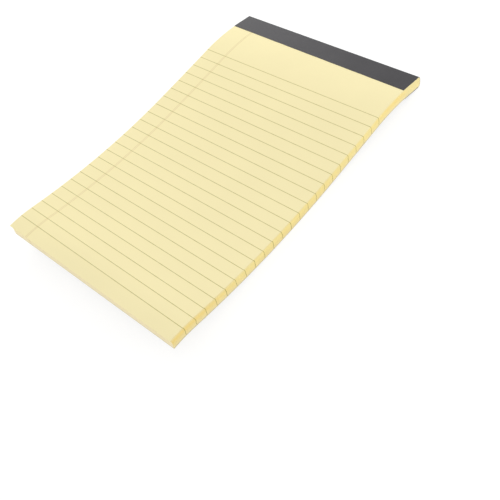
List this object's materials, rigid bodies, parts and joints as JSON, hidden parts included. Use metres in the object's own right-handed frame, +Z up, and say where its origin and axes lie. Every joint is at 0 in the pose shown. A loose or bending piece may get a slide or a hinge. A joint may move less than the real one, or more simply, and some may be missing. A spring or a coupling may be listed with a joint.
{
  "type": "legal pad",
  "caption": "Small ruled writing pad: yellow sheets stapled to a stiff board and bound across the head with dark tape, gently bent by use.",
  "frame": {"origin": "on the surface that the pad lies on, under the middle of its box", "axes": "+Y toward the taped head, +Z up through the sheets, +X to the right of someone who writes on it"},
  "size_m": [0.127, 0.2036, 0.0153],
  "materials": {
    "sheets": "uncoated yellow paper",
    "board": "light tan card",
    "tape": "charcoal binding paper, finely embossed",
    "staple_wire": "bright wire"
  },
  "bodies": {
    "root": {"page_block": "sheets", "backing_board": "board", "binding_tape": "tape", "staples": "staple_wire"}
  },
  "joints": []
}
